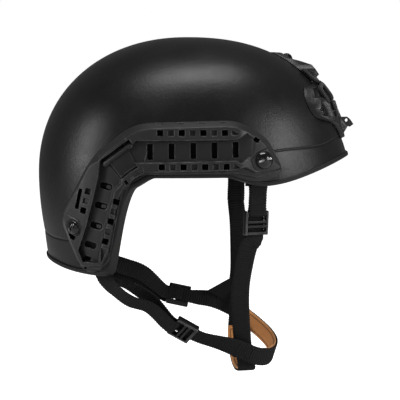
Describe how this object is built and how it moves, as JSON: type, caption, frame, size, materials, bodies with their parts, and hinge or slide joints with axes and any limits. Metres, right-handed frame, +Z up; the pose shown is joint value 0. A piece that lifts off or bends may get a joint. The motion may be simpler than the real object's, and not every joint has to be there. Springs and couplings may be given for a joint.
{
  "type": "combat helmet",
  "caption": "High-cut combat helmet with side accessory rails, a brow mount plate, inner pads, a nape fit dial and an adjustable leather-lined chin harness.",
  "frame": {"origin": "where the crown of the head rests, under the middle of the crown pad", "axes": "+X towards the brow, +Y towards the wearer's left, +Z up"},
  "size_m": [0.2858, 0.2372, 0.2998],
  "materials": {
    "shell_paint": "satin paint with a fine even grain over a moulded composite shell",
    "trim_rubber": "matte black rubber edging",
    "rail_plastic": "moulded nylon with a fine grain and softly worn edges",
    "screw_black": "black oxide, smooth and shiny on the dome",
    "nut_steel": "dull zinc",
    "plate_plastic": "moulded nylon, a little glossier than the rails",
    "insert_metal": "anodised, satin",
    "eye_metal": "anodised, satin",
    "elastic_cord": "braided elastic cord",
    "hook_plastic": "moulded, semi-gloss",
    "pad_fabric": "brushed knit over foam",
    "band_plastic": "flexible moulded nylon",
    "dial_rubber": "over-moulded grip",
    "bracket_metal": "black coated steel",
    "webbing": "ribbed nylon webbing, slightly shiny on the ribs",
    "lock_plastic": "acetal, semi-gloss with bright edges",
    "chin_leather": "tan suede leather, matte, with edge stitching"
  },
  "bodies": {
    "helmet": {"shell": "shell_paint", "edge_trim": "trim_rubber", "right_rail": "rail_plastic", "left_rail": "rail_plastic", "rail_front_screws": "screw_black", "rail_rear_screws": "screw_black", "rail_front_nuts": "nut_steel", "rail_rear_nuts": "nut_steel", "mount_plate": "plate_plastic", "socket_insert": "insert_metal", "plate_screws": "screw_black", "plate_nuts": "nut_steel", "lanyard_bracket": "eye_metal", "right_bungee": "elastic_cord", "left_bungee": "elastic_cord", "right_bungee_hook": "hook_plastic", "left_bungee_hook": "hook_plastic", "crown_pad": "pad_fabric", "front_pad": "pad_fabric", "rear_pad": "pad_fabric", "right_front_pad": "pad_fabric", "left_front_pad": "pad_fabric", "right_rear_pad": "pad_fabric", "left_rear_pad": "pad_fabric", "right_fit_band": "band_plastic", "left_fit_band": "band_plastic", "right_rear_bracket": "bracket_metal", "left_rear_bracket": "bracket_metal"},
    "harness": {"right_front_bracket": "bracket_metal", "left_front_bracket": "bracket_metal", "right_front_loop": "webbing", "left_front_loop": "webbing", "front_strap": "webbing", "chin_band": "webbing", "chin_lining": "chin_leather", "under_chin_lining": "chin_leather", "right_rear_loop": "webbing", "left_rear_loop": "webbing"},
    "cradle": {"nape_cradle": "band_plastic", "nape_pad": "pad_fabric", "dial_housing": "band_plastic"},
    "right_front_lock_body": {"right_front_lock": "lock_plastic"},
    "right_rear_lock_body": {"right_rear_lock": "lock_plastic"},
    "left_rear_lock_body": {"left_rear_lock": "lock_plastic"},
    "dial": {"fit_dial": "dial_rubber"}
  },
  "joints": [
    {"name": "harness_swing", "type": "hinge", "parent": "helmet", "child": "harness", "pos_m": [0.04626, 0, -0.07789], "axis": [0, 1, 0], "range_deg": [0, 10], "deforming": ["right_rear_loop", "left_rear_loop"]},
    {"name": "right_front_lock_tilt", "type": "hinge", "parent": "harness", "child": "right_front_lock_body", "pos_m": [0.04862, -0.0836, -0.12352], "axis": [-0.9564, -0.2922, 0], "range_deg": [0, 35]},
    {"name": "right_rear_lock_tilt", "type": "hinge", "parent": "harness", "child": "right_rear_lock_body", "pos_m": [-0.0218, -0.0625, -0.2246], "axis": [-0.4456, 0.6355, -0.6305], "range_deg": [0, 35]},
    {"name": "left_rear_lock_tilt", "type": "hinge", "parent": "harness", "child": "left_rear_lock_body", "pos_m": [-0.0175, 0.062, -0.214], "axis": [0.2128, 0.7188, 0.6618], "range_deg": [0, 35]},
    {"name": "cradle_slide", "type": "slide", "parent": "helmet", "child": "cradle", "axis": [1, 0, 0], "range_m": [0, 0.01], "deforming": ["right_fit_band", "left_fit_band"]},
    {"name": "dial_turn", "type": "hinge", "parent": "cradle", "child": "dial", "pos_m": [-0.11204, 0, -0.154], "axis": [1, 0, 0], "range_deg": [0, 360]}
  ],
  "couplings": [
    {"joint": "dial_turn", "follows": "cradle_slide", "rad_per_m": 628.3}
  ]
}
